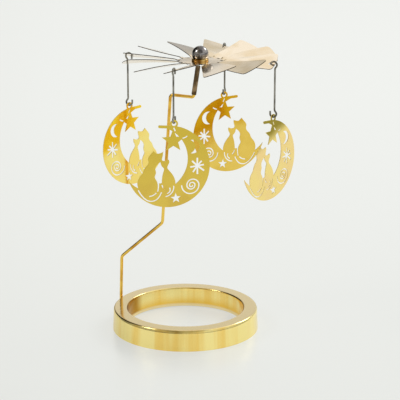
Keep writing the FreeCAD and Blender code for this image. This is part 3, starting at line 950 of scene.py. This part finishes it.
@dataclass
class Ornaments:
    """Four wire hooks and the pierced moons that hang on them."""

    tones: tuple[MoonSheet, ...] = MOON_GOLD

    def build(self) -> list[Piece]:
        """Dress the hooks alike and each moon in its own tone, with a painted reflection towards
        its top and a painted highlight on its cut edges.

        Returns:
            The dressed pieces.
        """
        # The moons' cut edges get the paler painted highlight.
        wire, etched = HOOK_WIRE.build(), MOON_EDGE_HIGHLIGHT.build()
        pieces = []
        for number, tone in enumerate(self.tones, 1):
            hook, moon = NODES[f"hook_{number}"], NODES[f"moon_{number}"]
            dress(hook, wire)
            dress(moon, tone.build())
            dress_edges(moon, etched)
            pieces += [hook, moon]
        return pieces


@dataclass(frozen=True)
class DimPatch:
    """A part of the sky that is darker, as where a room's wall isn't lit.

    The patch fades in as the way one looks, times the way towards its middle, grows from
    outer to inner.
    """

    toward: tuple[float, float, float]
    outer: float
    inner: float
    level: float


@dataclass(frozen=True)
class SoftBox:
    """A square lamp that looks at the object's middle."""

    name: str
    place: tuple[float, float, float]
    size: float
    watts: float


@dataclass
class Studio:
    """A pale table, a soft sky of light and the photograph's camera.

    The sky's stops are strengths of light, not paints, so they are linear. sky_stops run by
    the height one looks at, from level to straight up, and side_stops from left to right.
    """

    floor_size: float = 6.0
    floor_points: int = 9
    floor_roughness: float = 0.27
    paper: str = "EBEDEA"
    body: str = "8E908D"
    glow: float = 0.635
    sky_stops: Stops = (
        (0.0, (0.42, 0.42, 0.42, 1)), (0.12, (0.47, 0.47, 0.46, 1)),
        (0.26, (0.88, 0.88, 0.87, 1)), (0.38, (0.66, 0.66, 0.63, 1)),
        (0.56, (1.0, 1.0, 0.99, 1)), (1.0, (0.9, 0.9, 0.9, 1)))
    side_stops: Stops = (
        (0.0, (0.66, 0.64, 0.6, 1)), (0.40, (0.54, 0.5, 0.42, 1)), (0.47, (1, 1, 1, 1)),
        (1.0, (1, 1, 1, 1)))
    dim_patches: tuple[DimPatch, ...] = (DimPatch((0.0, -0.70, 0.71), 0.78, 0.93, 0.42),
                                         DimPatch((-0.71, 0.50, 0.50), 0.78, 0.95, 0.05))
    lamps: tuple[SoftBox, ...] = (SoftBox("left", (-0.95, -0.27, 0.94), 0.36, 2.4),
                                  SoftBox("right", (0.82, 0.68, 0.86), 0.45, 3.2))
    aim: tuple[float, float, float] = (0.0, 0.0, 0.07)
    lens_px: float = 1584.684
    frame_px: float = 400.0
    sensor_mm: float = 36.0
    stand_mm: tuple[float, float, float] = (-13.98, -680.42, 248.99)
    yaw: float = 0.0302538
    pitch: float = 0.2715901

    def build(self) -> None:
        """Set up the colour handling, floor, world, lamps and camera."""
        bpy.context.scene.view_settings.view_transform = "Standard"
        self.floor()
        self.world()
        for box in self.lamps:
            self.lamp(box)
        self.camera()

    def floor(self) -> None:
        """The satin table: one pale tone with the object's soft shadow and reflection.

        Its pale tone glows only where it is seen, straight or in gloss, and lights nothing.
        """
        half = self.floor_size / 2
        edge = np.linspace(-half, half, self.floor_points)
        x, y = np.meshgrid(edge, edge, indexing="ij")
        points = np.stack([x, y, np.zeros_like(x)], -1).reshape(-1, 3)
        floor = mesh_object("table_top", points,
                            grid_faces(self.floor_points, self.floor_points))
        material = blank_material("Satin lacquered table")
        tree = material.node_tree
        rays = add(tree, "ShaderNodeLightPath").outputs
        seen = rays["Is Camera Ray"]
        for ray in ("Is Glossy Ray", "Is Transmission Ray"):
            seen = add(tree, "ShaderNodeMath", {0: seen, 1: rays[ray]},
                       operation="MAXIMUM").outputs[0]
        glow = add(tree, "ShaderNodeMath", {0: seen, 1: self.glow}, operation="MULTIPLY")
        shader = add(tree, "ShaderNodeBsdfPrincipled",
                     {"Base Color": linear(self.body), "Roughness": self.floor_roughness,
                      "Emission Color": linear(self.paper),
                      "Emission Strength": glow.outputs[0]})
        add(tree, "ShaderNodeOutputMaterial", {"Surface": shader.outputs[0]})
        dress(floor, material)

    def world(self) -> None:
        """A pale studio sky, brighter overhead, dimmer on the left and in its dim patches."""
        world = bpy.data.worlds.new("Studio sky")
        world.use_nodes = True
        bpy.context.scene.world = world
        tree = world.node_tree
        tree.nodes.clear()
        look = add(tree, "ShaderNodeTexCoord").outputs["Generated"]
        across, _, rise = add(tree, "ShaderNodeSeparateXYZ", {0: look}).outputs
        sky = add(tree, "ShaderNodeValToRGB", {0: rise}, self.sky_stops).outputs[0]
        sideways = add(tree, "ShaderNodeMapRange", {"Value": across, "From Min": -1.0})
        shades = [add(tree, "ShaderNodeValToRGB", {0: sideways.outputs[0]}, self.side_stops)]
        for patch in self.dim_patches:
            near = add(tree, "ShaderNodeVectorMath", {0: look, 1: patch.toward},
                       operation="DOT_PRODUCT").outputs["Value"]
            stops = ((patch.outer, (1, 1, 1, 1)), (patch.inner, (*[patch.level] * 3, 1)))
            shades.append(add(tree, "ShaderNodeValToRGB", {0: near}, stops))
        for shade in shades:
            sky = mix(tree, 1.0, sky, shade.outputs[0], "MULTIPLY")
        light = add(tree, "ShaderNodeBackground", {"Color": sky, "Strength": 1.0})
        add(tree, "ShaderNodeOutputWorld", {"Surface": light.outputs[0]})

    def lamp(self, box: SoftBox) -> None:
        """Hang one lamp.

        Args:
            box: Its name, place, size and power.
        """
        data = bpy.data.lights.new(box.name, "AREA")
        data.size = box.size
        data.energy = box.watts
        lamp = bpy.data.objects.new(box.name, data)
        lamp.location = box.place
        toward = Vector(self.aim) - Vector(box.place)
        lamp.rotation_euler = toward.to_track_quat("-Z", "Y").to_euler()
        bpy.context.collection.objects.link(lamp)

    def camera(self) -> None:
        """Stand the camera where the photograph was taken from."""
        data = bpy.data.cameras.new("camera")
        data.sensor_width = self.sensor_mm
        data.lens = self.lens_px / self.frame_px * self.sensor_mm
        camera = bpy.data.objects.new("camera", data)
        camera.location = Vector(foot_of("base_ring").tolist()) + Vector(self.stand_mm) * MM
        look = Vector((math.sin(self.yaw) * math.cos(self.pitch),
                       math.cos(self.yaw) * math.cos(self.pitch), -math.sin(self.pitch)))
        camera.rotation_euler = look.to_track_quat("-Z", "Y").to_euler()
        bpy.context.collection.objects.link(camera)
        bpy.context.scene.camera = camera


def main() -> None:
    """Build the studio and every sub-assembly, and report the pieces."""
    logging.basicConfig(level=logging.INFO, format="%(name)s: %(message)s")
    Studio().build()
    for assembly in (CandleRing(), Stem(), DraughtFan(), DomeCap(), Ornaments()):
        for piece in assembly.build():
            LOG.info("%s: %s, %d faces", type(assembly).__name__, piece.name,
                     len(piece.data.polygons))


if __name__ == "__main__":
    main()
